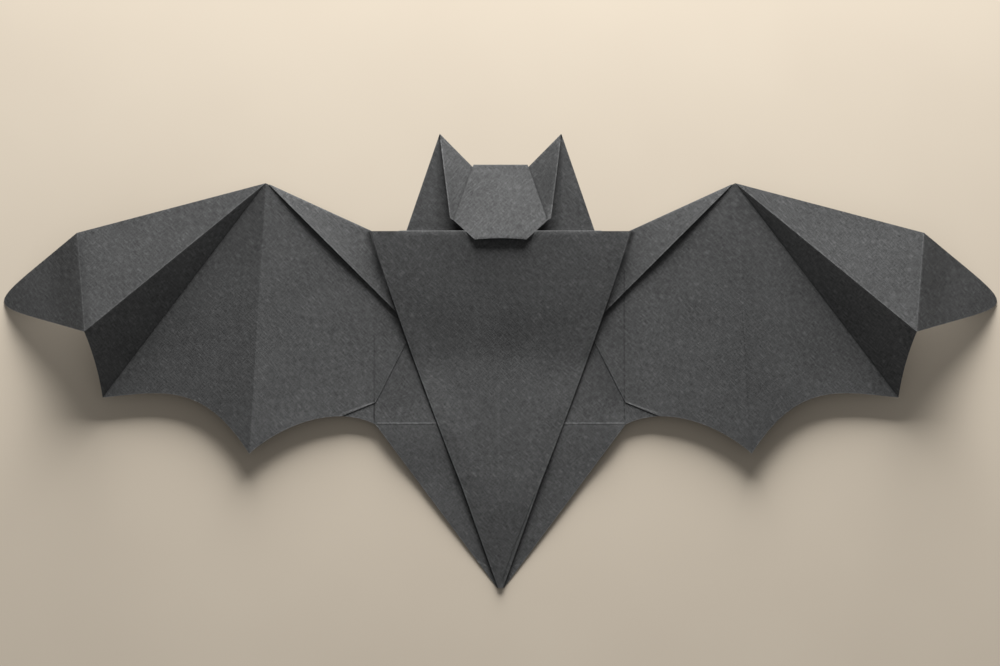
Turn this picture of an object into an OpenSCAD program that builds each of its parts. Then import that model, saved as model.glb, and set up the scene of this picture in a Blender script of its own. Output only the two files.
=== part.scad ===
// Origami bat: one square of craft paper, folded and cut, lying on its back.
// X runs across the wings, Y from the tail to the ears, Z from the rest surface to the viewer.
// The origin is on the centre line, under the fold at the top of the shield.
// Points are given for the right half. The left half is its mirror image.

/* [Paper] */
// Thickness of the paper
paper = 0.16; // [0.12:0.02:0.3]
// Air left between two plies that are pressed together
ply_gap = 0.1; // [0.08:0.02:0.2]

/* [Shield] */
// Width of the shield along its top fold
shield_w = 97.2; // [94:0.2:100]
// Length of the shield from its top fold to the tail tip
shield_l = 133.9; // [128:0.1:140]
// Width that the shield keeps at the blunt tail tip
tail_tip_w = 1.6; // [1.2:0.1:3]
// Distance of the soft cross bend below the top fold
shield_bend_y = 48.4; // [46:0.2:50]
// Height of the top fold above the rest surface
shield_top_z = 7; // [6.8:0.1:8]
// Height of the soft cross bend
shield_bend_z = 2.6; // [2.4:0.1:3]
// Distance of the low bend, from which the shield falls to the tail tip, below the top fold
shield_low_y = 92; // [88:0.5:100]
// Height of the low bend
shield_low_z = 2.3; // [2:0.1:2.8]
// Height of the tail tip's front ply
tail_tip_z = 0.9; // [0.9:0.05:1.2]
// Depth of the side pleats under the shield at their widest
pleat_depth = 7; // [6:0.5:8]
// Room between the hem and the tail's ply behind it at the hips, beyond the pressed plies' air
hip_slack = 0.3; // [0.2:0.05:0.6]

/* [Head] */
// Distance between the two ear tips
ear_span = 45.8; // [42:0.2:50]
// Distance of the ear tips above the shield's top fold
ear_tip_y = 36.4; // [33:0.2:40]
// Distance between the outer feet of the ears at the top fold
ear_base_w = 70.8; // [66:0.2:72]
// Length of the ears' ply that the shield hides
ear_root = 12; // [10:0.5:13]
// Width of the fold at the top of the head
head_top_w = 20.4; // [18:0.2:20.8]
// Distance of that fold above the shield's top fold
head_top_y = 24.8; // [24.4:0.2:27]
// Distance of the notch between head and ear beyond the end of that fold
notch_step = 0.4; // [0.3:0.1:2]
// Distance of the notch below that fold
notch_drop = 0.8; // [0.5:0.1:2]
// Width of the face at its cheeks
cheek_w = 35.2; // [32:0.2:37]
// Distance of the cheeks above the shield's top fold
cheek_y = 4.1; // [2:0.1:6]
// Width of the ears' folded edges outside the cheeks
ear_lip = 1.5; // [1:0.1:2.5]
// Width of the flat chin
chin_w = 19.4; // [16:0.2:22]
// Distance of the chin below the shield's top fold
chin_y = 3.1; // [2:0.1:5]
// Height of the chin above the rest surface
chin_z = 9.2; // [8.8:0.1:10.5]
// Rise of the arch in the chin's edge
chin_arch = 0.5; // [0:0.1:1]
// Length of the tip that is tucked under the chin
chin_tuck = 6; // [3:0.5:8]

/* [Wing outline] */
// Distance from the centre line to the wing's peak
peak_x = 88.1; // [85:0.1:91]
// Distance of the peak above the shield's top fold
peak_y = 18; // [16:0.2:20]
// Distance from the centre line to the elbow of the leading edge
elbow_x = 158.6; // [154:0.2:162]
// Distance of the elbow below the shield's top fold
elbow_y = 0.7; // [0:0.1:3]
// Slope of the leading edge beyond the elbow, in degrees
tip_lead_angle = 39; // [37:0.5:42]
// Slope of the trailing edge beyond the ridge, in degrees
tip_trail_angle = 15.5; // [13:0.5:18]
// Length of the tip's nose that is rounded off, along X
tip_nose = 22; // [18:0.5:26]
// Distance from the centre line to the outer end of the ridge
ridge_x = 155.6; // [152:0.2:158]
// Distance of the ridge's outer end below the shield's top fold
ridge_y = 37.7; // [35:0.2:41]
// Distance from the centre line to the outer claw, where the valley ends
claw_x = 149.2; // [146:0.2:151]
// Distance of the outer claw below the shield's top fold
claw_y = 62.4; // [59:0.2:65]
// Depth of the hollow edge between ridge and outer claw
claw_hollow = 0.8; // [0:0.1:2]
// Distance from the centre line to the middle claw, where the crease ends
mid_claw_x = 94.2; // [91:0.2:97]
// Distance of the middle claw below the shield's top fold
mid_claw_y = 83.4; // [80:0.2:86]
// Distance from the centre line to the hip, where wing and tail meet
hip_x = 46.9; // [45:0.1:49]
// Distance of the hip below the shield's top fold
hip_y = 72.5; // [71:0.1:74]

/* [Wing relief] */
// Height of the peak above the rest surface
peak_z = 3; // [2.8:0.1:3.4]
// Height of the elbow
elbow_z = 11; // [8:0.5:14]
// Height of the wing tip, which props the wing
tip_z = 0; // [0:0.1:1]
// Height of the ridge's outer end
ridge_z = 17.5; // [14:0.5:20]
// Height of the outer claw
claw_z = 4.5; // [4:0.5:8]
// Height of the middle claw
mid_claw_z = 5.3; // [5:0.1:6.2]
// Room between the wing's main ply and the side pleat, at the lower end of the wing's hidden fold
wing_room = 0.35; // [0.2:0.05:0.6]

/* [Wing plies] */
// Distance from the centre line to the free corner of the main ply
step_x = 46.9; // [46:0.1:48]
// Distance of that corner below the shield's top fold
step_y = 64.2; // [63:0.1:65.5]
// Distance from the centre line to where the main ply leaves the trailing edge
step_end_x = 59.8; // [58:0.2:62]
// Distance below the top fold at which the main ply goes under the shield
root_y = 39.8; // [39:0.1:41]
// Overlap of the second ply behind the main ply
ply_overlap = 4; // [3:0.5:5]
// Depth of the turned hem behind the second ply's lower edge
hem_depth = 7; // [5:0.5:8]
// Angle between the flap's free edge and the X axis
flap_angle = 45; // [44:0.5:46]
// Distance along the leading fold from the peak to the flap's free edge
flap_start = 1.5; // [1:0.1:3]
// Room between the flap and the side pleat in front of it, where its free edge meets the shield
flap_room = 0.3; // [0.2:0.05:0.6]

/* [Hidden] */
paper_grey = [0.27, 0.27, 0.275];
curve_steps = 16;
bend_steps = 6;
bow_steps = 8;
// Points that lie nearer than this are one point
same_point = 0.000001;
// From the lower face of one pressed ply to the lower face of the next
ply_step = paper + ply_gap;
// How far a folded edge reaches beyond its fold line
bend_reach = paper + ply_gap / 2;

// Where the flap's hidden fold begins and ends, as shares of the way from the top fold to its corner
flap_fold_shares = [0.43, 0.8];
// How far the second ply runs on behind the main ply's root
root_lap = 2;
// Room at the hip between the second ply's hidden fold and the tail's
hip_room = 2.5;
// Room between the tail's hidden fold and the tail tip
tip_room = 6;
second_top_y = root_y - root_lap;
second_end_y = hip_y - hip_room;
tail_top_y = hip_y + hip_room;
tail_fold_end_y = shield_l - tip_room;
// How far wing and flap run on under the shield
fold_tuck = 4.5;
flap_tuck = 2.25;
// Depth of the side pleats at the tail tip
pleat_tip_depth = 0.53;
// How far the tail's rear plies stand out beyond the shield at the tip
tail_reach = 0.4;
// How far the crimp's folds run on beyond the ears' feet
crimp_lap = 2.5;
ear_root_lap = 0.6;
// Direction from the cheek in which the ears' edges show, in degrees
lip_angle = 30;
// How much the tucked chin narrows on each side
tuck_taper = 2;

// Lengths of the handles that shape the hollow trailing edges, with their directions
outer_hollow = [23, 174, 32, 57.5];
inner_hollow = [15.4, 138.5, 17.4, 27];

// Planes and lines
function slope_through(p, q, r) =
    let (
        u = q - p,
        v = r - p,
        d = u.x * v.y - u.y * v.x,
        a = (u.z * v.y - v.z * u.y) / d,
        b = (u.x * v.z - v.x * u.z) / d
    )
    [a, b, p.z - a * p.x - b * p.y];
function on(plane, p) = [p.x, p.y, plane[0] * p.x + plane[1] * p.y + plane[2]];
function raised(points, h) = [for (p = points) p + [0, 0, h]];
function flipped(points) = [for (i = [len(points) - 1:-1:0]) [-points[i].x, points[i].y, points[i].z]];
function turned(angle) = [cos(angle), sin(angle)];
function crossing(p, u, q, v) = p + u * ((q - p).x * v.y - (q - p).y * v.x) / (u.x * v.y - u.y * v.x);

// A curve from p to q with one handle at each end, as [length, angle, length, angle]
function curve(p, q, handles) =
    let (
        h = p + handles[0] * turned(handles[1]),
        k = q + handles[2] * turned(handles[3])
    )
    [
        for (i = [0:curve_steps])
            let (t = i / curve_steps, s = 1 - t)
            p * s ^ 3 + h * 3 * s ^ 2 * t + k * 3 * s * t ^ 2 + q * t ^ 3
    ];

// Unit vector to the right of a line of points, seen from above, at point k
function right_of(line, k) =
    let (
        d = line[min(k + 1, len(line) - 1)] - line[max(k - 1, 0)],
        l = norm([d.x, d.y])
    )
    [d.y / l, -d.x / l];

// The place of an item in a list, or undef where the list doesn't hold it
function place(item, list) = [for (i = [0:len(list) - 1]) if (norm(list[i] - item) < same_point) i][0];

// One ply, which bends where its flat panels meet. A panel's points are its lower face,
// anticlockwise from above. The first is in sight of all the others and in line with no two of them.
module ply(panels) {
    all = [for (panel = panels, p = panel) p];
    points = [for (i = [0:len(all) - 1]) if (place(all[i], all) == i) all[i]];
    n = len(points);
    numbered = [for (panel = panels) [for (p = panel) place(p, points)]];
    edges = [for (f = numbered, i = [0:len(f) - 1]) [f[i], f[(i + 1) % len(f)]]];
    rim = [for (e = edges) if (is_undef(place([e[1], e[0]], edges))) e];
    polyhedron(
        points = concat(points, raised(points, paper)),
        faces = concat(
            [for (f = numbered, i = [1:len(f) - 2]) [f[0], f[i], f[i + 1]]],
            [for (f = numbered, i = [1:len(f) - 2]) [f[0] + n, f[i + 1] + n, f[i] + n]],
            [for (e = rim) [e[0], e[0] + n, e[1] + n, e[1]]]
        )
    );
}

// A folded edge that joins a lower and an upper ply along a line, with the outside on its right.
module bend(lower, upper) {
    m = bend_steps + 1;
    ring = 2 * m;
    last = len(lower) - 1;
    loop = concat([for (i = [0:m - 1]) i], [for (i = [ring - 1:-1:m]) i]);
    points = [
        for (k = [0:last], inner = [0, 1], i = [0:m - 1])
            let (
                out = right_of(lower, k),
                angle = -90 + 180 * i / bend_steps,
                half = (upper[k].z + paper - lower[k].z) / 2,
                reach = (bend_reach - inner * paper) * cos(angle),
                rise = (half - inner * paper) * sin(angle)
            )
            [
                lower[k].x + out.x * reach,
                lower[k].y + out.y * reach,
                lower[k].z + half + rise
            ]
    ];
    end = last * ring;
    start_cap = [
        for (i = [0:bend_steps - 1], half = [0, 1])
            half == 0 ? [i, m + i, m + i + 1] : [i, m + i + 1, i + 1]
    ];
    end_cap = [for (f = start_cap) [f[0] + end, f[2] + end, f[1] + end]];
    walls = [
        for (k = [0:last - 1], i = [0:ring - 1], half = [0, 1])
            let (
                a = k * ring + loop[i],
                b = k * ring + loop[(i + 1) % ring]
            )
            half == 0 ? [a, b, b + ring] : [a, b + ring, a + ring]
    ];
    polyhedron(points = points, faces = concat(start_cap, end_cap, walls));
}

// A line from p to q that is bowed to its left by a depth
function bowed(p, q, depth) =
    let (d = q - p, left = [-d.y, d.x] / norm(d))
    [for (i = [0:bow_steps]) let (t = i / bow_steps) p + d * t + left * depth * 4 * t * (1 - t)];

// The shield's right side and the hidden fold line of its side pleat, at y below the top fold
shield_profile = [
    [0, shield_top_z], [shield_bend_y, shield_bend_z], [shield_low_y, shield_low_z], [shield_l, tail_tip_z]
];
function shield_z(y) = lookup(y, shield_profile);
function shield_side(y) =
    [shield_w / 2 + (tail_tip_w - shield_w) / 2 * y / shield_l, -y, shield_z(y)];
function pleat_line(y) =
    shield_side(y) - [pleat_depth + (pleat_tip_depth - pleat_depth) * y / shield_l, 0, ply_step];
function pleat_lines(list) = [for (y = list) pleat_line(y)];
function laid(plane, points) = [for (p = points) on(plane, p)];

side_line = [for (y = [shield_l, shield_low_y, shield_bend_y, 0]) shield_side(y)];
crimp_x = ear_base_w / 2 + crimp_lap;
ear_root_x = ear_base_w / 2 + ear_root_lap;

// The wing's corners
peak = [peak_x, peak_y, peak_z];
elbow = [elbow_x, -elbow_y, elbow_z];
ridge_end = [ridge_x, -ridge_y, ridge_z];
claw = [claw_x, -claw_y, claw_z];
mid_claw = [mid_claw_x, -mid_claw_y, mid_claw_z];
root = [shield_side(root_y).x, -root_y];
hip = [hip_x, -hip_y];
main_plane = slope_through(peak, mid_claw, pleat_line(second_end_y) - [0, 0, wing_room]);
web_plane = slope_through(peak, claw, mid_claw);

// The hollow trailing edges, from the outer claw to the middle claw and from there to the hip
web_edge = curve([claw.x, claw.y], [mid_claw.x, mid_claw.y], outer_hollow);
inner_edge = curve([mid_claw.x, mid_claw.y], hip, inner_hollow);
function on_inner_edge(x) = [x, lookup(x, [for (p = inner_edge) [p.x, p.y]])];
function inner_edge_between(near, far) =
    [for (i = [curve_steps:-1:0]) if (inner_edge[i].x > near && inner_edge[i].x < far) inner_edge[i]];
step_corner = [step_x, -step_y];
step_end = on_inner_edge(step_end_x);
second_end = on_inner_edge(step_end_x + ply_overlap);

// The leading fold between main ply and flap, which runs on under the shield
fold_dir = [shield_w / 2 - peak_x, -peak_y] / norm([shield_w / 2 - peak_x, -peak_y]);
flap_tip = [peak_x, peak_y] + fold_dir * flap_start;
fold_end = [shield_w / 2, 0] + fold_dir * fold_tuck;
flap_dir = -turned(flap_angle);
shield_dir = [(tail_tip_w - shield_w) / 2, -shield_l];
flap_corner = crossing(flap_tip, flap_dir, [shield_w / 2, 0], shield_dir);
flap_end = flap_corner + flap_dir * flap_tuck;
flap_fold_ys = [for (share = flap_fold_shares) -flap_corner.y * share];
flap_plane = slope_through(
    on(main_plane, flap_tip) + [0, 0, ply_step],
    on(main_plane, fold_end) + [0, 0, ply_step],
    [flap_corner.x, flap_corner.y, shield_z(-flap_corner.y) - ply_step - flap_room - paper]
);

// The second ply behind the main one, the hem behind its lower edge, and the tail behind that
second_plane = main_plane - [0, 0, ply_step];
hem_left = [pleat_line(hip_y).x, -hip_y];
tail_corner = [tail_tip_w / 2 + tail_reach, -shield_l];
hem_top_y = hip_y - hem_depth;
hem_top = [
    [hip.x + (hip.x - tail_corner.x) * hem_depth / (shield_l - hip_y), -hem_top_y],
    [pleat_line(hem_top_y).x, -hem_top_y]
];
tail_plane = slope_through(
    [pleat_line(shield_l).x, -shield_l, 0],
    on(second_plane, hem_top[1]) - [0, 0, 2 * ply_step],
    on(second_plane, hip) - [0, 0, 2 * ply_step + hip_slack]
);

// The wing's end beyond the elbow, with a rounded nose that touches the rest surface
lead_dir = turned(-tip_lead_angle);
trail_dir = turned(tip_trail_angle);
nose = crossing([elbow.x, elbow.y], lead_dir, [ridge_x, -ridge_y], trail_dir);
nose_trail = tip_nose / trail_dir.x;
nose_lead = tip_nose / lead_dir.x;
nose_edge = curve(
    nose - trail_dir * nose_trail,
    nose - lead_dir * nose_lead,
    [nose_trail, tip_trail_angle, nose_lead, -tip_lead_angle]
);
nose_planes = [for (p = nose_edge) slope_through(elbow, ridge_end, [p.x, p.y, tip_z])];
nose_fall = max([for (s = nose_planes) s[0]]);
tip_plane = [for (s = nose_planes) if (s[0] == nose_fall) s][0];

// The head, which rises from its top fold to the chin
head_top = [[head_top_w / 2, head_top_y, ply_step], [-head_top_w / 2, head_top_y, ply_step]];
ear_tip = [ear_span / 2, ear_tip_y];
notch = [head_top_w / 2 + notch_step, head_top_y - notch_drop];
cheek = [cheek_w / 2, cheek_y];
lip = cheek + ear_lip * turned(lip_angle);
chin = bowed([-chin_w / 2, -chin_y], [chin_w / 2, -chin_y], chin_arch);
face_plane = slope_through(head_top[0], head_top[1], [0, -chin_y, chin_z]);
ear_plane = slope_through([ear_tip.x, ear_tip.y, ply_step], on(face_plane, notch), on(face_plane, cheek));

module both_sides() {
    children();
    mirror([1, 0, 0]) children();
}

// The shield with its two soft bends, and the folded edges along its sides
module shield() {
    left_line = flipped(side_line);
    ply([
        [
            side_line[2], side_line[3],
            [crimp_x, 0, shield_top_z], [-crimp_x, 0, shield_top_z],
            left_line[0], left_line[1]
        ],
        [left_line[1], left_line[2], side_line[1], side_line[2]],
        [left_line[2], left_line[3], side_line[0], side_line[1]]
    ]);
    both_sides() bend(raised(side_line, -ply_step), side_line);
}

// The narrow ply that each side fold turns under the shield
module side_pleat() {
    under = raised(side_line, -ply_step);
    ply([
        concat([under[3]], pleat_lines(concat(flap_fold_ys, [second_top_y, shield_bend_y])), [under[2]]),
        concat([under[2]], pleat_lines([shield_bend_y, second_end_y, tail_top_y, shield_low_y]), [under[1]]),
        concat([under[1]], pleat_lines([shield_low_y, tail_fold_end_y, shield_l]), [under[0]])
    ]);
}

// The crimp behind the shield's top fold, and the ears' ply that comes out above it
module ear_ply() {
    root_line = [[-ear_root_x, -ear_root, 0], [0, -ear_root, 0], [ear_root_x, -ear_root, 0]];
    top_line = [[crimp_x, 0, shield_top_z], [-crimp_x, 0, shield_top_z]];
    crimp_line = raised(top_line, -ply_step);
    right_edge = [
        [ear_base_w / 2, 0, 0],
        [ear_tip.x, ear_tip.y, 0],
        [notch.x, notch.y, 0],
        [head_top_w / 2, head_top_y, 0]
    ];
    ply([concat([root_line[1], root_line[2]], right_edge, flipped(right_edge), [root_line[0]])]);
    ply([concat([crimp_line[1]], raised(root_line, ply_step), [crimp_line[0]])]);
    bend(root_line, raised(root_line, ply_step));
    bend(crimp_line, top_line);
}

// The face, with its chin tucked under, and the inner ears in front of the ears' ply
module head() {
    right_edge = laid(face_plane, [chin[bow_steps], cheek, notch]);
    ply([concat(
        [head_top[0], head_top[1]],
        flipped(right_edge),
        laid(face_plane, [for (i = [1:bow_steps - 1]) chin[i]]),
        right_edge
    )]);
    bend(raised(head_top, -ply_step), head_top);
    chin_line = laid(face_plane, chin);
    tuck_top = laid(face_plane, [
        [chin_w / 2 - tuck_taper, chin_tuck - chin_y],
        [tuck_taper - chin_w / 2, chin_tuck - chin_y]
    ]);
    ply([raised(concat(tuck_top, chin_line), -ply_step)]);
    bend(raised(chin_line, -ply_step), chin_line);
    both_sides() {
        ply([laid(ear_plane, [ear_tip, notch, cheek, lip])]);
        bend([[ear_tip.x, ear_tip.y, 0], [notch.x, notch.y, 0]], laid(ear_plane, [ear_tip, notch]));
    }
}

// The main ply from the leading fold to the middle claw, and the folded fan beyond it
module wing() {
    step_dir = (root - step_corner) / norm(root - step_corner);
    band_plane = slope_through(peak, claw, ridge_end);
    ply([
        laid(main_plane, concat(
            [flap_tip, fold_end],
            [root + step_dir * fold_tuck, root, step_corner, step_end],
            inner_edge_between(step_end_x, mid_claw_x),
            [[mid_claw.x, mid_claw.y], [peak.x, peak.y]]
        )),
        concat([peak], laid(web_plane, [for (i = [curve_steps:-1:0]) web_edge[i]])),
        concat([peak], laid(band_plane, bowed([claw.x, claw.y], [ridge_x, -ridge_y], claw_hollow))),
        [peak, ridge_end, elbow],
        concat([elbow, ridge_end], laid(tip_plane, nose_edge))
    ]);
}

// The flap in front of the wing, joined to it at the leading fold and to the shield's side pleat
module flap() {
    inner = pleat_lines(flap_fold_ys);
    fold = [flap_tip, fold_end];
    ply([laid(flap_plane, concat(fold, inner, [flap_end, flap_corner]))]);
    bend(laid(main_plane, fold), laid(flap_plane, fold));
    bend(laid(flap_plane, inner), inner);
}

// The second ply, whose lower edge is turned under as a hem that joins it to the tail
module second_ply() {
    inner = pleat_lines([second_top_y, shield_bend_y, second_end_y]);
    hem = [hem_left, hip];
    top = [root.x + ply_overlap, -second_top_y];
    ply([laid(second_plane, concat(
        [top], inner, hem, inner_edge_between(hip_x, second_end.x), [second_end]
    ))]);
    bend(laid(second_plane, inner), inner);
    hem_ply = laid(second_plane, concat(hem, hem_top));
    ply([raised(hem_ply, -ply_step)]);
    bend(raised(laid(second_plane, hem), -ply_step), laid(second_plane, hem));
}

// The tail's side, behind all the others
module tail() {
    inner = pleat_lines([tail_top_y, shield_low_y, tail_fold_end_y]);
    ply([laid(tail_plane, concat([tail_corner, hip], hem_top, inner, [pleat_line(shield_l)]))]);
    bend(laid(tail_plane, inner), inner);
    bend(laid(tail_plane, hem_top), raised(laid(second_plane, hem_top), -ply_step));
}

module folded_sheet() {
    color(paper_grey) {
        shield();
        ear_ply();
        head();
        both_sides() {
            side_pleat();
            wing();
            flap();
            second_ply();
            tail();
        }
    }
}

folded_sheet();
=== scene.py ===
# %% [markdown]
# This lesson dresses a paper bat that was folded from one square of dark craft paper.
# The real object is a flat-lying model: its shape comes from folds alone, so nearly all that the eye
# reads is how each panel tilts to the light, where a fold has rubbed pale, and how deep the shade is
# under each ply. We start from the solid model, which already has every ply and fold in place.

# %% Load the solid model
import math

import bmesh
import bpy
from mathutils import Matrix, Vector


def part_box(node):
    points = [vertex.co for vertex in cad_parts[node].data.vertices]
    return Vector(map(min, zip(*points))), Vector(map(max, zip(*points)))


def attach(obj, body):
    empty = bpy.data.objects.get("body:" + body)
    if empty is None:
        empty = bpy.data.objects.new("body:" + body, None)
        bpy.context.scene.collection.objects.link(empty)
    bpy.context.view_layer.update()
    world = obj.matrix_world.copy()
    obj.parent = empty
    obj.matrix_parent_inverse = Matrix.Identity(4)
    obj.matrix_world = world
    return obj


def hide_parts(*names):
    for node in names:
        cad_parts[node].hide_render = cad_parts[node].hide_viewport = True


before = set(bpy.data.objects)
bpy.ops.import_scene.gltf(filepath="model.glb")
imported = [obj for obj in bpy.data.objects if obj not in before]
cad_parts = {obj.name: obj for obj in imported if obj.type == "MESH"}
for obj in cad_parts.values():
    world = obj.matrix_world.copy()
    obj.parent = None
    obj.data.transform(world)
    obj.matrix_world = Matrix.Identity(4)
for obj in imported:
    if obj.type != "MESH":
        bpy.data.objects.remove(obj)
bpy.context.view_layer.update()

MM = 0.001
print("Nodes:", sorted(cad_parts))

# %% [markdown]
# Shaders and Geometry Nodes are both graphs of nodes. Wiring them by hand makes long scripts, so we
# wrap one output socket in a small class. Sums on wrapped sockets add Math nodes for us, and one
# method, node, makes every other kind of node: its settings first, then its sockets.

# %% A socket that can be used in sums
class Wire:
    """One output socket of a node tree, with the sums that shaders need."""

    def __init__(self, tree, socket=None):
        self.tree = tree
        self.socket = socket

    def node(self, kind, settings=None, sockets=None, out=0):
        """Adds a node, gives it its settings, then its values and links, and returns one output."""
        made = self.tree.nodes.new(kind)
        for name, value in (settings or {}).items():
            setattr(made, name, value)
        for key, value in (sockets or {}).items():
            if isinstance(value, Wire):
                self.tree.links.new(value.socket, made.inputs[key])
            else:
                made.inputs[key].default_value = value
        return Wire(self.tree, None if out is None else made.outputs[out])

    def other(self, name):
        """Another output of the same node."""
        return Wire(self.tree, self.socket.node.outputs[name])

    def math(self, operation, first, second=0.0):
        return self.node("ShaderNodeMath", {"operation": operation}, {0: first, 1: second})

    def __add__(self, other):
        return self.math("ADD", self, other)

    def __radd__(self, other):
        return self.math("ADD", other, self)

    def __sub__(self, other):
        return self.math("SUBTRACT", self, other)

    def __rsub__(self, other):
        return self.math("SUBTRACT", other, self)

    def __mul__(self, other):
        return self.math("MULTIPLY", self, other)

    def __rmul__(self, other):
        return self.math("MULTIPLY", other, self)

    def __abs__(self):
        return self.math("ABSOLUTE", self)

    def at_most(self, limit):
        return self.math("MINIMUM", self, limit)

    def at_least(self, limit):
        return self.math("MAXIMUM", self, limit)

    def scaled(self, vector, factor):
        """A vector or colour, made longer or paler by a factor."""
        return self.node("ShaderNodeVectorMath", {"operation": "SCALE"}, {0: vector, "Scale": factor})

    def ramp(self, low, high):
        """0 below low, 1 above high, and a smooth slope between."""
        return self.node(
            "ShaderNodeMapRange",
            {"interpolation_type": "SMOOTHSTEP"},
            {"Value": self, "From Min": low, "From Max": high},
        )


def shader_of(material):
    """A material's Principled shader, and a wire to build on."""
    material.use_nodes = True
    return material.node_tree.nodes["Principled BSDF"], Wire(material.node_tree)


print("A wire knows:", [name for name in vars(Wire) if not name.startswith("__")])

# %% [markdown]
# The camera looks straight down, as the picture does. It stands far off with a long lens, so that
# the raised ridges of the wings are not pushed outwards. The frame is 375 mm wide.

# %% Camera
FRAME_WIDTH = 375 * MM
FRAME_CENTRE = Vector((-0.2 * MM, -38.2 * MM, 4 * MM))
CAMERA_DISTANCE = 4.0
FILM_WIDTH = 36.0
FAR_CLIP = 20.0

camera_data = bpy.data.cameras.new("camera")
camera_data.sensor_width = FILM_WIDTH
camera_data.lens = FILM_WIDTH * CAMERA_DISTANCE / FRAME_WIDTH
camera_data.clip_end = FAR_CLIP
camera = bpy.data.objects.new("camera", camera_data)
camera.location = FRAME_CENTRE + Vector((0, 0, CAMERA_DISTANCE))
bpy.context.scene.collection.objects.link(camera)
bpy.context.scene.camera = camera
print("Lens:", round(camera_data.lens, 1), "mm")

# %% [markdown]
# The panels differ in tone because they tilt, so one soft lamp stands low behind the ears and a
# dim, even world fills the rest. Together they light a flat sheet at about strength one.

# %% Light
KEY_PLACE = Vector((30 * MM, 800 * MM, 252 * MM))
KEY_AIM = Vector((0, -20 * MM, 4 * MM))
KEY_SIZE = (580 * MM, 400 * MM)
KEY_POWER = 24.0
FILL = 0.18

key_data = bpy.data.lights.new("key_lamp", "AREA")
key_data.shape = "RECTANGLE"
key_data.size = KEY_SIZE[0]
key_data.size_y = KEY_SIZE[1]
key_data.energy = KEY_POWER
key = bpy.data.objects.new("key_lamp", key_data)
key.location = KEY_PLACE
key.rotation_euler = (KEY_AIM - KEY_PLACE).to_track_quat("-Z", "Y").to_euler()
bpy.context.scene.collection.objects.link(key)

world = bpy.data.worlds.new("world")
bpy.context.scene.world = world
world.use_nodes = True
world.node_tree.nodes["Background"].inputs["Color"].default_value = (1.0, 1.0, 1.0, 1.0)
world.node_tree.nodes["Background"].inputs["Strength"].default_value = FILL
view = bpy.context.scene.view_settings
view.view_transform = "Standard"
print("Lamp at", tuple(round(v, 3) for v in key.location))

# %% [markdown]
# The bat lies on a plain pale floor, which takes its shadow. A trace of unevenness in its colour
# keeps it from looking like an empty page. The lamp stands low over the far part of the floor and
# would burn it out there, so the floor's colour gets deeper as it comes close under the lamp.

# %% Floor
FLOOR_HALF = 1.5
FLOOR_DROP = 0.02 * MM
FLOOR_TONES = (0.60, 0.52, 0.42, 1.0), (0.66, 0.58, 0.47, 1.0)
CLOUDS_PER_METRE = 12.0
EVEN_BEYOND = 750 * MM

floor_mesh = bpy.data.meshes.new("floor")
corners = [(-1, -1), (1, -1), (1, 1), (-1, 1)]
floor_mesh.from_pydata([(x * FLOOR_HALF, y * FLOOR_HALF, 0) for x, y in corners], [], [(0, 1, 2, 3)])
floor = bpy.data.objects.new("floor", floor_mesh)
bpy.context.scene.collection.objects.link(floor)
floor.location.z = -FLOOR_DROP

floor_paint = bpy.data.materials.new("floor_paint")
floor_shader, wire = shader_of(floor_paint)
place = wire.node("ShaderNodeTexCoord", out="Object")
cloud = wire.node(
    "ShaderNodeTexNoise", sockets={"Vector": place, "Scale": CLOUDS_PER_METRE, "Detail": 3.0}
)
tone = wire.node(
    "ShaderNodeMix", {"data_type": "RGBA"}, {0: cloud, 6: FLOOR_TONES[0], 7: FLOOR_TONES[1]}, out=2
)
from_lamp = wire.node(
    "ShaderNodeVectorMath", {"operation": "DISTANCE"}, {0: place, 1: KEY_PLACE}, out="Value"
)
nearness = (from_lamp * (1 / EVEN_BEYOND)).at_most(1.0)
evened = wire.scaled(tone, nearness * nearness * nearness)
floor_paint.node_tree.links.new(evened.socket, floor_shader.inputs["Base Color"])
floor_shader.inputs["Roughness"].default_value = 1.0
floor_shader.inputs["Specular IOR Level"].default_value = 0.1
floor_mesh.materials.append(floor_paint)
print("Floor:", floor.name)

# %% [markdown]
# The solid model is made of long thin triangles. We copy the mesh, merge its loose corners and melt
# the triangles of each flat panel into one face. While each panel is still a single face it is easy
# to read its outline: where two panels meet in a ridge, where they meet in a valley, and where the
# paper is cut or turned over. Those outlines are kept for the wear along the folds.

# %% Copy the folded sheet and read its folds
FLAT_ENOUGH = math.radians(0.2)
NARROW = 0.3 * MM
FOLD_ANGLE = math.radians(8)
CORNER_ANGLE = math.radians(50)
SAME_POINT = MM / 1000
RIDGE, VALLEY, RIM = 0, 1, 2


def merged_copy(node_name):
    """A copy of a node's mesh with its corners merged and its flat panels in one piece."""
    bm = bmesh.new()
    bm.from_mesh(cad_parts[node_name].data)
    bmesh.ops.remove_doubles(bm, verts=bm.verts, dist=SAME_POINT)
    bmesh.ops.dissolve_limit(bm, angle_limit=FLAT_ENOUGH, verts=bm.verts, edges=bm.edges)
    return bm


def kind_of_fold(edge, widths):
    """Says whether an edge is a ridge, a valley or a rim, or None where the paper hardly bends."""
    if len(edge.link_faces) != 2:
        return None
    angle = edge.calc_face_angle_signed(0.0)
    wide = [widths[face] > NARROW for face in edge.link_faces]
    if all(wide):
        if abs(angle) < FOLD_ANGLE:
            return None
        return RIDGE if angle > 0 else VALLEY
    return RIM if any(wide) else None


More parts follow.
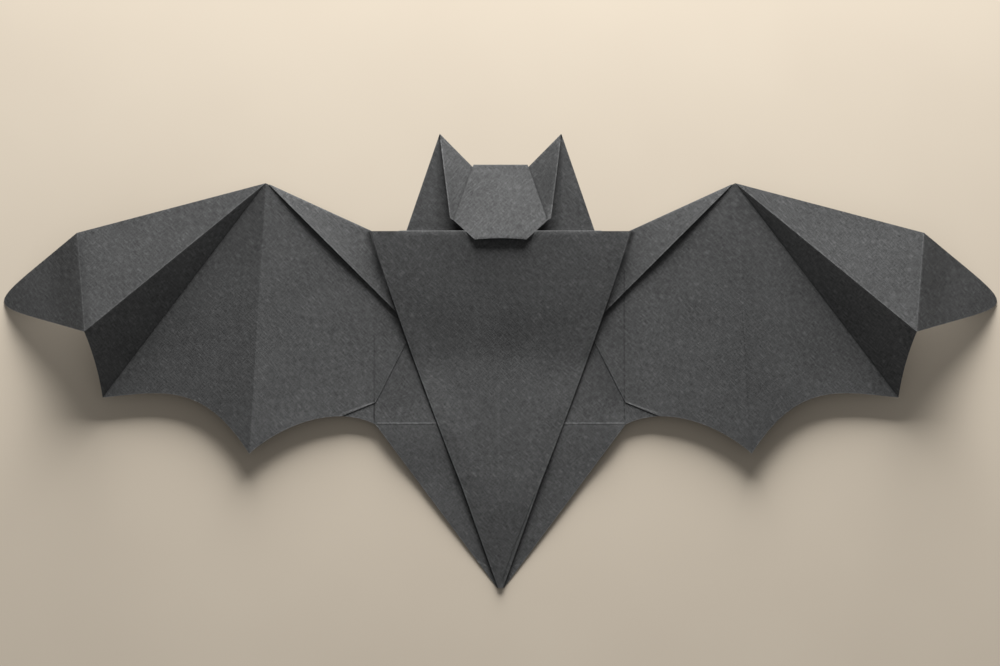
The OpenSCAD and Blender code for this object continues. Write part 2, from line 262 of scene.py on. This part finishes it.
def read_folds(bm):
    """Numbers the panels, marks the sharp edges, and lists each panel's outline by kind."""
    number = bm.faces.layers.int.new("panel")
    widths = {}
    for face in bm.faces:
        widths[face] = face.calc_area() / max(edge.calc_length() for edge in face.edges)
    outlines = {}
    for i, face in enumerate(bm.faces):
        face[number] = i
        face.smooth = True
        outlines[i] = []
        for edge in face.edges:
            kind = kind_of_fold(edge, widths)
            if kind is not None:
                ends = [v.co.copy() for v in edge.verts]
                outlines[i].append((kind, ends[0], ends[1]))
    for edge in bm.edges:
        if len(edge.link_faces) == 2:
            sharp_corner = edge.calc_face_angle(0.0) > CORNER_ANGLE
            edge.smooth = not (sharp_corner or kind_of_fold(edge, widths) in (RIDGE, VALLEY))
    return outlines


sheet_bm = merged_copy("folded_sheet")
outlines = read_folds(sheet_bm)
print("Panels and strips:", len(outlines), "sharp edges:", sum(not e.smooth for e in sheet_bm.edges))

# %% [markdown]
# Paper bends softly between its folds, and for that a surface needs points all over. So all faces
# are cut along a fine square grid. The cuts keep the panel numbers and the sharp edges.

# %% Cut the sheet along a grid
GRID = 3 * MM
ON_THE_CUT = MM / 10000


def cut_on_grid(bm, low, high, step):
    """Cuts every face along planes that stand a step apart."""
    for axis in (0, 1):
        normal = Vector((0, 0, 0))
        normal[axis] = 1.0
        for i in range(1, int((high[axis] - low[axis]) / step) + 1):
            spot = Vector((0, 0, 0))
            spot[axis] = low[axis] + i * step
            geom = bm.verts[:] + bm.edges[:] + bm.faces[:]
            bmesh.ops.bisect_plane(bm, geom=geom, dist=ON_THE_CUT, plane_co=spot, plane_no=normal)
    many_sided = [face for face in bm.faces if len(face.verts) > 4]
    bmesh.ops.triangulate(bm, faces=many_sided)


cut_on_grid(sheet_bm, *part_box("folded_sheet"), GRID)
print("Faces after the cuts:", len(sheet_bm.faces))

# %% [markdown]
# To treat each panel in its own way, we have to know where the panels meet. The two halves mirror
# each other, so a point is told by its distance from the centre line, its y and its height, in
# millimetres. The main lines of the folded sheet are straight and the plies are flat, so a slope and
# a start say all about each. The same lines serve the tones here and the soft bends further on.

# %% Where the panels meet
PEAK = (88.1, 18.0)
RIDGE_SLOPE = 0.825
VALLEY_SLOPE = 1.316
CREASE_LEAN = 0.06
SHIELD_TOP_HALF = 48.6
SHIELD_SIDE_SLOPE = 0.357
TIP_FOLD_X = 158.6
TIP_FOLD_SLOPE = 0.081
EAR_FOOT = 36.5
EAR_PLY = 23.2
EAR_PLY_TOP = 0.5
CHEEK = (17.6, 4.1)
CHEEK_SLOPE = 0.176
HEAD_TOP = (10.6, 24.0)
FACE_SLOPE = 0.352
HEM_Y = -72.4
HIP = 55
FLAP_ABOVE_WEB = 0.19
FLAP_END_Y = -36.0
MAIN_PLANE = (0.043, -0.0201, -0.425)
TAIL_PLANE = (0.0377, 0.0034, 0.45)


def height_of(plane, x, y):
    """Height of a flat ply at x and y: its slopes along both, and its height at the origin."""
    return plane[0] * x + plane[1] * y + plane[2]


def shield_side(y):
    """How far the shield's side is from the centre line."""
    return SHIELD_TOP_HALF + SHIELD_SIDE_SLOPE * y


def tip_fold(y):
    """How far the fold of the wing tip is from the centre line."""
    return TIP_FOLD_X + TIP_FOLD_SLOPE * y


def wing_panel(side, y):
    """The panel outside the crease that runs down from the wing's peak."""
    out = side - PEAK[0]
    if y > PEAK[1] - RIDGE_SLOPE * out:
        return "fan"
    return "band" if y > PEAK[1] - VALLEY_SLOPE * out else "outer web"


def head_panel(side, y, z):
    """The panel above the shield's top fold: the ears' ply, an ear's folded front, or the face."""
    if side > EAR_PLY or z < EAR_PLY_TOP or side > CHEEK[0] + CHEEK_SLOPE * (y - CHEEK[1]):
        return "outer ear"
    return "inner ear" if side > HEAD_TOP[0] + FACE_SLOPE * (HEAD_TOP[1] - y) else "face"


def panel_name(side, y, z):
    """The panel at a distance from the centre line, a y and a height."""
    if side > tip_fold(y):
        return "tip"
    if side > PEAK[0] + CREASE_LEAN * (PEAK[1] - y):
        return wing_panel(side, y)
    if y > 0 and side < EAR_FOOT:
        return head_panel(side, y, z)
    if side < shield_side(y):
        return "shield"
    if y < HEM_Y and side < HIP:
        return "tail"
    above_web = z - height_of(MAIN_PLANE, side, y)
    return "flap" if above_web > FLAP_ABOVE_WEB and y > FLAP_END_Y else "inner web"


print("Beside the shield's top lies the", panel_name(50.0, -5.0, 2.5))

# %% [markdown]
# The panels in the picture are further apart in tone than their tilt to our one lamp makes them, and
# seldom even from end to end. So light and shade are painted on: each panel gets a tone for its left
# and its right copy, set against the picture, and a list of slow changes. A change has an amount for
# either half, and grows from nothing to all of it between two values of one or more measures.

# %% Painted light and shade of the panels
PANEL_LIGHT_AND_SHADE = {
    "tip": (0.74, 0.74),
    "fan": (0.85, 0.98),
    "band": (0.946, 1.078),
    "outer web": (0.78, 0.86),
    "inner web": (1.0, 0.96),
    "flap": (1.0, 0.84),
    "tail": (1.14, 1.14),
    "shield": (1.0, 1.0),
    "outer ear": (0.95, 0.97),
    "inner ear": (1.0, 0.7),
    "face": (1.04, 1.04),
}
MEASURES = {
    "side": lambda side, down: side,
    "down": lambda side, down: down,
    "from peak": lambda side, down: math.dist((side, -down), PEAK),
    "past shield": lambda side, down: side - shield_side(-down),
    "across band": lambda side, down: (
        (PEAK[1] + down - RIDGE_SLOPE * (side - PEAK[0]))
        / ((VALLEY_SLOPE - RIDGE_SLOPE) * (side - PEAK[0]))
    ),
}
# Slow changes of the painted light and shade across each panel.
LIGHT_AND_SHADE_CHANGES = [
    # panel, amount on the left and on the right, and each measure with its values for none and all
    ("band", -0.2, -0.2, [("across band", 0, 1)]),
    ("outer web", -0.2, 0, [("from peak", 34, 0)]),
    ("outer web", 0.14, 0.14, [("down", 45, 62), ("side", 105, 125)]),
    ("inner web", 0.16, 0.06, [("down", 35, 70), ("side", 47, 50)]),
    ("inner web", 0.2, 0.2, [("down", 63, 71), ("side", 50, 47)]),
    ("inner web", 0, -0.07, [("side", 60, 88)]),
    ("inner web", -0.1, -0.1, [("down", 55, 80), ("side", 76, 92)]),
    ("flap", 0.16, 0.16, [("side", 48, 62)]),
    ("flap", -0.1, -0.1, [("side", 54, 46), ("down", 12, 6)]),
    ("shield", 0.22, 0.22, [("side", 16, 46), ("down", 26, 4)]),
    ("shield", -0.08, -0.13, [("past shield", -5, -12), ("down", 26, 36), ("down", 50, 43)]),
    ("shield", 0.26, 0.26, [("down", 76, 100), ("down", 118, 104)]),
    ("shield", 0.16, 0.16, [("past shield", -12, -5), ("down", 48, 58), ("down", 105, 92)]),
    ("shield", 0.18, 0, [("past shield", -12, -5), ("down", 50, 58), ("down", 80, 66)]),
    ("tail", -0.12, -0.12, [("down", 90, 130)]),
]


def share(value, start, full):
    """How far a value has gone from start to full, from 0 to 1. Start may be the greater one."""
    return min(1.0, max(0.0, (value - start) / (full - start)))


def light_and_shade_of(middle, point):
    """Painted light and shade at a point of the panel with the given middle: a factor on the grey."""
    half = 0 if middle.x < 0 else 1
    name = panel_name(abs(middle.x) / MM, middle.y / MM, middle.z / MM)
    side, down = abs(point.x) / MM, -point.y / MM
    tone = PANEL_LIGHT_AND_SHADE[name][half]
    for panel, left, right, spans in LIGHT_AND_SHADE_CHANGES:
        if panel == name:
            amount = (left, right)[half]
            for measure, start, full in spans:
                amount *= share(MEASURES[measure](side, down), start, full)
            tone *= 1 + amount
    return tone


print("Slow changes of tone:", len(LIGHT_AND_SHADE_CHANGES))

# %% [markdown]
# Every panel gets a flat map of the sheet in metres, so that fibres lie in the paper and are not
# smeared down the steep parts. Every corner also learns how far it is from the nearest ridge, valley
# and rim of its own panel, and its painted light and shade. A distance from a straight fold grows
# evenly, so even a coarse grid carries it exactly, and the material can draw a hair-thin pale or dark
# line with it.

# %% Lay out the fibres, the distances from the folds and the tones
FAR = 20 * MM
STEEP = 0.2
NO_LENGTH = 1e-12
FACE_HALF = 24 * MM
FACE_LEAST_Y = -4 * MM
FACE_LEAST_Z = 1 * MM


def distance_to(point, start, end):
    """Distance of a point from a straight piece of outline."""
    along = end - start
    part_way = max(0.0, min(1.0, (point - start).dot(along) / max(along.length_squared, NO_LENGTH)))
    return (point - start - part_way * along).length


def map_directions(face):
    """Two directions in a face's plane: across the bat, and along it."""
    across = Vector((0, 1, 0)).cross(face.normal)
    if across.length < STEEP:
        across = Vector((1, 0, 0))
    across.normalize()
    return across, face.normal.cross(across)


def lay_out_sheet(bm, outlines):
    """Writes the sheet map, each corner's distance from ridges, valleys and rims, and its tone."""
    sheet = bm.loops.layers.uv.new("sheet")
    folds = bm.loops.layers.float_color.new("folds")
    number = bm.faces.layers.int["panel"]
    for face in bm.faces:
        middle = face.calc_center_median()
        across, along = map_directions(face)
        on_face = abs(middle.x) < FACE_HALF and middle.y > FACE_LEAST_Y and middle.z > FACE_LEAST_Z
        for loop in face.loops:
            point = loop.vert.co
            u, v = point.dot(across), point.dot(along)
            loop[sheet].uv = (-v, u) if on_face else (u, v)
            nearest = [FAR, FAR, FAR]
            for kind, start, end in outlines[face[number]]:
                nearest[kind] = min(nearest[kind], distance_to(point, start, end))
            loop[folds] = [d / FAR for d in nearest] + [light_and_shade_of(middle, point)]


lay_out_sheet(sheet_bm, outlines)
sheet_mesh = bpy.data.meshes.new("bat_paper")
sheet_bm.to_mesh(sheet_mesh)
sheet_bm.free()
bat_paper = bpy.data.objects.new("bat_paper", sheet_mesh)
bpy.context.scene.collection.objects.link(bat_paper)
print("Corners laid out:", len(sheet_mesh.loops))

# %% [markdown]
# No panel of a handled paper model is truly flat: the face bows down to its cheeks, the flap curls up
# from its fold, the shield eases through its cross bend. Moving points by hand would be slow and
# uneven. Each bend is a small move that follows a rule on x and y, so one Geometry Nodes tree makes
# them all, with a named input for the size of each in millimetres. A rule is a mask, which picks one
# ply by its place and height, times a curve. Here x is the distance from the centre line.

# %% Curves for the bends
def hump(value, middle, reach):
    """1 at the middle, falling softly to 0 at the given reach on both sides."""
    return 1 - (abs(value - middle) * (1 / reach)).ramp(0.0, 1.0)


def cusp(value, middle, reach):
    """1 at the middle, with a crease there, falling to 0 at the given reach on both sides."""
    near = 1 - (abs(value - middle) * (1 / reach)).at_most(1.0)
    return near * near


def arch(value, middle, reach):
    """1 at the middle, falling as an arch to 0 at the given reach on both sides."""
    along = (value - middle) * (1 / reach)
    return (1 - along * along).at_least(0.0)


print("Curves:", [curve.__name__ for curve in (hump, cusp, arch)])

# %% [markdown]
# Near the centre line the head stands highest, so its height tells it from the plies below. Over the
# shield it is all that lies above 7.5 mm. Beyond the shield's top fold it is all above 0.9 mm.

# %% Bends of the head
HEAD_LEAST_Z = 7.5
EARS_LEAST_Z = 0.9
HEAD_END_X = (23.0, 24.0)
CHEEK_FADE_Y = (4.0, 26.0)
CHIN_FADE_Y = (-6.0, 16.0)


def head_bow(sizes, x, y, z):
    """The face and the inner ears drop towards the cheeks, and the chin nods over the shield."""
    lowest = HEAD_LEAST_Z - (HEAD_LEAST_Z - EARS_LEAST_Z) * y.ramp(0.4, 0.6)
    on_head = (z - lowest).ramp(0.0, 0.4) * (1 - x.ramp(*HEAD_END_X))
    outward = x * (1 / CHEEK[0])
    cheeks = sizes.other("Head bow") * outward * outward * (1 - y.ramp(*CHEEK_FADE_Y))
    chin = sizes.other("Chin dip") * (1 - y.ramp(*CHIN_FADE_Y))
    return on_head * (cheeks + chin)


print("The head bends within", CHEEK[0], "mm of the centre line")

# %% [markdown]
# The flap lies on the wing's web, so it is picked by its height above the web's plane. It is folded
# down from the wing's top edge, and it rises the more the further it gets from that fold. The wing
# tip hangs free, so it is a little hollow between its fold and its nose.

# %% Bends of the wings
FLAP_FOLD_SLOPE = 0.4557
FLAP_FOLD_COSINE = 0.91
FLAP_FROM_X = (44.0, 50.0)
FLAP_END_X = (86.5, 88.0)
CURL_FROM_X = 50.0
CURL_WIDTH = 38.0


def flap_curl(sizes, x, y, z):
    """The flap rises more steeply from its fold near the wing's peak."""
    below_fold = (PEAK[1] - FLAP_FOLD_SLOPE * (PEAK[0] - x) - y) * FLAP_FOLD_COSINE
    between = x.ramp(*FLAP_FROM_X) * (1 - x.ramp(*FLAP_END_X))
    level = z - height_of(MAIN_PLANE, x, y)
    on_flap = level.ramp(FLAP_ABOVE_WEB, 0.24) * between * below_fold.ramp(0.0, 1.0)
    near_peak = ((x - CURL_FROM_X) * (1 / CURL_WIDTH)).at_least(0.0)
    return sizes.other("Flap curl") * on_flap * below_fold * near_peak


def tip_sag(sizes, x, y, z):
    """The wing tip hangs a little hollow between its fold and its nose."""
    beyond = x - tip_fold(y)
    hollow = beyond.ramp(0.0, 11.0) - beyond.ramp(9.0, 27.0)
    return sizes.other("Tip sag") * hollow * z.ramp(0.5, 3.0)


print("Fold of the wing tip at the top:", round(tip_fold(0), 1), "mm out")

# %% [markdown]
# The shield is one long panel with a soft bend across it, where the solid model has a sharp one. So
# the panel is eased up along that line, dips a little around it, and bulges towards the tail. Its
# two long sides were folded a little round, so they bow out.
# The shield sinks towards the tail, and the least height that still counts as shield sinks with it.
# Each bend below is given by its middle and its reach along y.

# %% Bends of the shield
DIP = (-46.0, 16.0)
EASE = (-48.4, 13.0)
BULGE = (-86.0, 42.0)
SIDE_BOW = (-44.0, 50.0)
SHIELD_LEAST_Z = (2.1, 2.25)
SINK_FROM_Y = -90.0
SINK_SLOPE = 0.036


def shield_bends(sizes, x, y, z):
    """The shield dips softly through its cross bend and bulges a little below it."""
    inside = 1 - (x - shield_side(y)).ramp(-6.0, -0.5)
    sunk = ((y - SINK_FROM_Y) * SINK_SLOPE).at_most(0.0)
    on_shield = inside * (z - sunk).ramp(*SHIELD_LEAST_Z)
    dip = sizes.other("Shield dip") * hump(y, *DIP)
    ease = sizes.other("Shield ease") * cusp(y, *EASE)
    swell = arch(y, *BULGE)
    bulge = sizes.other("Shield bulge") * swell * swell
    return on_shield * (bulge + ease - dip)


def side_bow(sizes, x, y):
    """The shield's two long sides are folded a little round, so that they bow outwards."""
    beyond_side = x - shield_side(y)
    at_side = beyond_side.ramp(-8.0, -0.3) * (1 - beyond_side.ramp(0.3, 0.5))
    top_end = 1 - y.ramp(-6.0, 0.0)
    return sizes.other("Side bow") * arch(y, *SIDE_BOW) * at_side * top_end


print("Width of the shield at its top:", 2 * shield_side(0), "mm")

# %% [markdown]
# The tail's side is one ply with the web above it, turned under along a hem. Near the hem it has come
# up to the web's own plane, less the thickness of the paper and a little air.

# %% Bend of the tail's side
TAIL_AIR = 0.3
TAIL_END_Y = (-65.0, -63.0)
LIFT_Y = (-96.0, -73.0)


def tail_lift(sizes, x, y, z):
    """The tail's side comes up to the hem that it is folded from."""
    level = z - height_of(TAIL_PLANE, x, y)
    on_tail = level.ramp(-0.06, -0.02) * (1 - level.ramp(0.18, 0.22)) * (1 - y.ramp(*TAIL_END_Y))
    gap = height_of(MAIN_PLANE, x, y) - TAIL_AIR - height_of(TAIL_PLANE, x, y)
    return sizes.other("Tail lift") * on_tail * gap * y.ramp(*LIFT_Y)


print("Room under the hem at the hip:", round(height_of(MAIN_PLANE, HIP, HEM_Y), 2), "mm")

# %% [markdown]
# Now the bends come together in one tree. It moves each point, turns instances into real faces and
# gives the sheet its material. A modifier's inputs are set by their identifiers, before the object is
# worked out for the first time. Then the result becomes a plain mesh and the modifier goes.

# %% Bend the sheet softly
BENDS = {
    "Head bow": 1.6,
    "Chin dip": 0.5,
    "Flap curl": 0.2,
    "Shield dip": 0.15,
    "Shield ease": 0.27,
    "Shield bulge": 1.1,
    "Tail lift": 1.0,
    "Tip sag": 1.2,
    "Side bow": 1.0,
}


def bend_rules(sizes):
    """Adds the soft bends to a tree, and returns the move of each point in millimetres."""
    in_mm = sizes.scaled(sizes.node("GeometryNodeInputPosition"), 1 / MM)
    across = sizes.node("ShaderNodeSeparateXYZ", sockets={"Vector": in_mm})
    x, y, z = abs(across), across.other("Y"), across.other("Z")
    up = flap_curl(sizes, x, y, z) + shield_bends(sizes, x, y, z) + tail_lift(sizes, x, y, z)
    lift = up - head_bow(sizes, x, y, z) - tip_sag(sizes, x, y, z)
    outward = side_bow(sizes, x, y) * across.math("SIGN", across)
    return sizes.node("ShaderNodeCombineXYZ", sockets={"X": outward, "Z": lift})


def soft_bend_tree():
    """The tree that moves each point of the sheet by the rules above."""
    tree = bpy.data.node_groups.new("soft_bends", "GeometryNodeTree")
    tree.interface.new_socket("Sheet", in_out="INPUT", socket_type="NodeSocketGeometry")
    tree.interface.new_socket("Paper", in_out="INPUT", socket_type="NodeSocketMaterial")
    for name in BENDS:
        tree.interface.new_socket(name, in_out="INPUT", socket_type="NodeSocketFloat")
    tree.interface.new_socket("Bent sheet", in_out="OUTPUT", socket_type="NodeSocketGeometry")
    sheet = Wire(tree).node("NodeGroupInput", out="Sheet")
    offset = sheet.scaled(bend_rules(sheet), MM)
    bent = sheet.node("GeometryNodeSetPosition", sockets={"Geometry": sheet, "Offset": offset})
    real = sheet.node("GeometryNodeRealizeInstances", sockets={"Geometry": bent})
    painted = sheet.node(
        "GeometryNodeSetMaterial", sockets={"Geometry": real, "Material": sheet.other("Paper")}
    )
    sheet.node("NodeGroupOutput", sockets={"Bent sheet": painted}, out=None)
    return tree


def set_input(modifier, name, value):
    """Sets a tree's input by its identifier, because its name is only a label."""
    for item in modifier.node_group.interface.items_tree:
        if item.item_type == "SOCKET" and item.in_out == "INPUT" and item.name == name:
            modifier[item.identifier] = value


def made_plain(obj):
    """Turns the result of an object's tree into its own plain mesh."""
    graph = bpy.context.evaluated_depsgraph_get()
    mesh = bpy.data.meshes.new_from_object(obj.evaluated_get(graph), depsgraph=graph)
    obj.modifiers.clear()
    obj.data = mesh


craft_paper = bpy.data.materials.new("craft_paper")
bend_modifier = bat_paper.modifiers.new("soft_bends", "NODES")
bend_modifier.node_group = soft_bend_tree()
set_input(bend_modifier, "Paper", craft_paper)
for name, amount in BENDS.items():
    set_input(bend_modifier, name, amount)
made_plain(bat_paper)
print("Bent sheet:", len(bat_paper.data.polygons), "faces", bat_paper.data.materials[:])

# %% [markdown]
# The paper is dark grey and matt. Up close it is a felt of short fibres that lie mostly along two
# diagonals, with a finer grain between them, a pale speck here and there and a slow cloudiness. Noise
# drawn out along one direction looks like such fibres, and costs far less than modelling them.

# %% Fibres of the craft paper
PAPER_GREY = (0.066, 0.0665, 0.0665)
FIBRE_LENGTHS = 2.8 * MM, 2.2 * MM
FIBRE_WIDTH = 0.36 * MM
GRAIN_SIZE = 0.31 * MM
CLOUD_SIZE = 16 * MM
SPECK_SPACING = 6 * MM
FEW = (0.62, 0.8)

paper_shader, wire = shader_of(craft_paper)
sheet_map = wire.node("ShaderNodeUVMap", {"uv_map": "sheet"})


def noise(vector, place, size, detail):
    """Noise whose grains have the given size along both directions, moved by a fixed amount."""
    scale = (1 / size[0], 1 / size[1], 1.0)
    drawn = wire.node(
        "ShaderNodeMapping", sockets={"Vector": vector, "Location": place, "Scale": scale}
    )
    return wire.node("ShaderNodeTexNoise", sockets={"Vector": drawn, "Scale": 1.0, "Detail": detail})


def fibres(angle, length, width, seed):
    """Noise drawn out into short streaks along one direction of the sheet."""
    turned = wire.node(
        "ShaderNodeVectorRotate",
        {"rotation_type": "Z_AXIS"},
        {"Vector": sheet_map, "Angle": math.radians(angle)},
    )
    return noise(turned, (seed, 0, 0), (length, width), 0.0)


def grain(size, seed, detail):
    """Even noise whose grains have about the given size."""
    return noise(sheet_map, (seed, seed, 0), (size, size), detail)


down_fibres = fibres(45, FIBRE_LENGTHS[0], FIBRE_WIDTH, 3.0)
up_fibres = fibres(-45, FIBRE_LENGTHS[1], FIBRE_WIDTH, 8.0)
fine_grain = grain(GRAIN_SIZE, 5.0, 0.0)
cloud = grain(CLOUD_SIZE, 2.0, 2.0)
streaks = 0.7 * (down_fibres - 0.5) + 0.6 * (up_fibres - 0.5) + 1.4 * (fine_grain - 0.5)
pale_fibres = down_fibres.ramp(*FEW) + 0.7 * up_fibres.ramp(*FEW)
cells = wire.node(
    "ShaderNodeTexVoronoi", sockets={"Vector": sheet_map, "Scale": 1 / SPECK_SPACING}, out="Distance"
)
luck = wire.node("ShaderNodeSeparateColor", sockets={"Color": cells.other("Color")}, out="Red")
specks = (1 - cells.ramp(0.03, 0.09)) * luck.ramp(0.5, 0.9)
print("Nodes for the fibres:", len(craft_paper.node_tree.nodes))

# %% [markdown]
# Handling rubs the ridges a little pale and leaves the cut rims a little lighter, and on top of that
# both get a painted highlight where they catch the light. The valleys get a painted shade. The
# distances that each corner carries say where, so these lines stay on their fold from every side.

# %% Wear, painted highlights and painted shade along the folds
RIDGE_WEAR_AND_HIGHLIGHT_WIDTH = 0.7 * MM
VALLEY_PAINTED_SHADE_WIDTH = 0.9 * MM
RIM_WEAR_AND_HIGHLIGHT_WIDTH = 0.45 * MM

fold_map = wire.node("ShaderNodeAttribute", {"attribute_name": "folds"}, out="Color")
fold_parts = wire.node("ShaderNodeSeparateColor", sockets={"Color": fold_map})
# The panel's painted light and shade rides in the alpha of the folds attribute.
panel_light_and_shade = fold_map.other("Alpha")


def near_fold(part, width):
    """1 on a fold, falling to 0 at the given distance from it."""
    return 1 - fold_parts.other(part).ramp(0.0, width / FAR)


# Pale lines along ridges and rims are partly rubbed paper and partly painted highlight; valleys get painted
# shade.
ridge_wear_and_highlight = near_fold("Red", RIDGE_WEAR_AND_HIGHLIGHT_WIDTH)
valley_painted_shade = near_fold("Green", VALLEY_PAINTED_SHADE_WIDTH)
rim_wear_and_highlight = near_fold("Blue", RIM_WEAR_AND_HIGHLIGHT_WIDTH)
print("Nodes with the wear:", len(craft_paper.node_tree.nodes))

# %% [markdown]
# A few marks follow no fold of the finished model: creases left over from earlier folds, pale lines
# along edges and steps that are partly rubbed paper and partly painted highlight, and dark lines and
# soft shades of painted shade that stand for shadow which our lamp doesn't throw.
# Each is a straight stroke between two points, in millimetres on the sheet's plan.

# %% A stroke and a shade
plan = wire.node("ShaderNodeTexCoord", out="Object")
plan_x = wire.node("ShaderNodeSeparateXYZ", sockets={"Vector": wire.scaled(plan, 1 / MM)}, out="X")
plan_y = plan_x.other("Y")
both_sides = abs(plan_x)


def along_and_off(x, start, end):
    """How far a point is along the line from start to end, and how far off to its right-hand side."""
    run = math.dist(start, end)
    step_x = (end[0] - start[0]) / run
    step_y = (end[1] - start[1]) / run
    along = step_x * (x - start[0]) + step_y * (plan_y - start[1])
    off = step_y * (x - start[0]) - step_x * (plan_y - start[1])
    return along, off, run


def stroke(x, start, end, width, fade=3.0):
    """1 on the straight line from start to end, falling to 0 at the given width and at both ends."""
    along, off, run = along_and_off(x, start, end)
    beside = 1 - abs(off).ramp(0.0, width)
    return beside * along.ramp(0.0, fade) * (1 - along.ramp(run - fade, run))


def shade(x, start, end, reach, fade=0.1):
    """1 on the line from start to end, falling to 0 over the given reach on its right-hand side."""
    along, off, run = along_and_off(x, start, end)
    ahead = along.ramp(-1.0, 0.0) * (1 - along.ramp((1 - fade) * run, run))
    return ahead * off.ramp(-0.3, 0.1) * (1 - off.ramp(0.0, reach))


print("Nodes with the plan:", len(craft_paper.node_tree.nodes))

# %% [markdown]
# First the pale marks, partly rubbed paper and partly painted highlight: the hems, the edge of each
# wing's inner step, the ears' folds, two faint creases and the corners of the tail. Then the dark ones:
# the ear tips, which are darker, and painted shade along old creases down the webs, beside the folds
# at the tail's tip, and as soft shades beside the shield, the head, the roots and the tips.

# %% Marks on the paper, with painted highlights and painted shade
RADIANS_PER_MM = 2.4

# Pale lines, partly rubbed paper and partly painted highlight where edges and steps catch the light.
pale_marks_and_highlights = (
    1.1 * stroke(both_sides, (23.5, -71.95), (47.0, -71.95), 0.6, 1.0)
    + 0.8 * stroke(both_sides, (60.0, -68.6), (46.6, -63.9), 0.45, 2.0)
    + 0.36 * stroke(both_sides, (22.6, 36.0), (18.8, 5.0), 0.5)
    + 0.25 * stroke(both_sides, (10.2, 24.0), (17.2, 4.2), 0.5)
    + 0.1 * stroke(plan_x, (-0.75, -56.0), (-0.75, -102.0), 0.9)
    + 0.2 * stroke(plan_x, (88.9, 6.0), (91.6, -40.0), 0.4)
    + 0.8 * stroke(plan_x, (-8.9, -123.6), (-5.0, -125.8), 0.5, 0.8)
    + 0.8 * stroke(plan_x, (5.0, -125.8), (7.4, -124.8), 0.5, 0.6)
)
# Dark lines and soft shades: painted shade in creases, beside ply edges and beside raised parts; the ear
# tips are darker.
wave = plan_y * RADIANS_PER_MM
dotted = wave.math("SINE", wave) * 0.35 + 0.65
dark_marks_and_painted_shade = (
    0.6 * stroke(both_sides, (23.5, 37.2), (22.4, 34.2), 0.8, 0.4)
    + 0.3 * stroke(plan_x, (-47.4, -36.0), (-47.4, -73.0), 0.4)
    + 0.4 * stroke(plan_x, (-47.4, -62.0), (-47.4, -74.0), 0.4, 1.0)
    + 0.6 * dotted * stroke(plan_x, (46.4, -13.0), (46.4, -73.0), 0.4)
    + 0.35 * dotted * stroke(plan_x, (90.4, -26.0), (93.4, -74.0), 0.4)
    + 0.45 * stroke(plan_x, (13.6, -97.0), (3.9, -121.5), 0.4)
    + 0.45 * stroke(plan_x, (4.4, -120.4), (0.6, -131.0), 0.4, 1.0)
    + 0.74 * shade(plan_x, (-49.0, -0.5), (-42.8, -20.0), 3.0, 0.4)
    + 0.72 * shade(-1 * plan_x, (-49.0, -0.5), (-42.8, -20.0), 2.4, 0.5)
    + 0.35 * shade(-1 * both_sides, (-17.0, 2.7), (-9.6, -4.5), 2.6, 0.2)
    + 0.16 * shade(-1 * plan_x, (-45.9, -63.8), (-36.0, -40.5), 10.0)
    + 0.25 * shade(plan_x, (-155.6, -37.7), (-158.6, -0.7), 4.0)
    + 0.12 * shade(-1 * plan_x, (-155.6, -37.7), (-158.6, -0.7), 4.0)
)
marks_and_painted_light = 1 + pale_marks_and_highlights - dark_marks_and_painted_shade
print("Nodes with the marks:", len(craft_paper.node_tree.nodes))

# %% [markdown]
# The fibres, the wear and painted light along the folds, the marks with their painted highlights and
# shades, and the panel's painted light and shade all make the same grey paler or darker, so they are
# multiplied. The fibres also stand a few hundredths of a millimetre proud, which a bump shows.

# %% Colour and relief of the paper
FIBRE_HEIGHT = 0.05 * MM

strength = 1.0 + 1.1 * streaks + 0.4 * (cloud - 0.5) + 0.3 * pale_fibres + 0.4 * specks
# Wear and painted highlight on ridges and rims, painted shade in the valleys.
wear_and_painted_light = 1 + 0.36 * ridge_wear_and_highlight + 0.35 * rim_wear_and_highlight - 0.25 * valley_painted_shade
colour = wire.scaled(PAPER_GREY, panel_light_and_shade * strength * wear_and_painted_light * marks_and_painted_light)
craft_paper.node_tree.links.new(colour.socket, paper_shader.inputs["Base Color"])
paper_shader.inputs["Roughness"].default_value = 0.9
paper_shader.inputs["Specular IOR Level"].default_value = 0.15
relief = wire.node(
    "ShaderNodeBump", sockets={"Height": streaks, "Strength": 0.3, "Distance": FIBRE_HEIGHT}
)
craft_paper.node_tree.links.new(relief.socket, paper_shader.inputs["Normal"])
print("Nodes in the paper:", len(craft_paper.node_tree.nodes))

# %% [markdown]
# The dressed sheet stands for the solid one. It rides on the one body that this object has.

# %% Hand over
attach(bat_paper, "root")
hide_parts("folded_sheet")
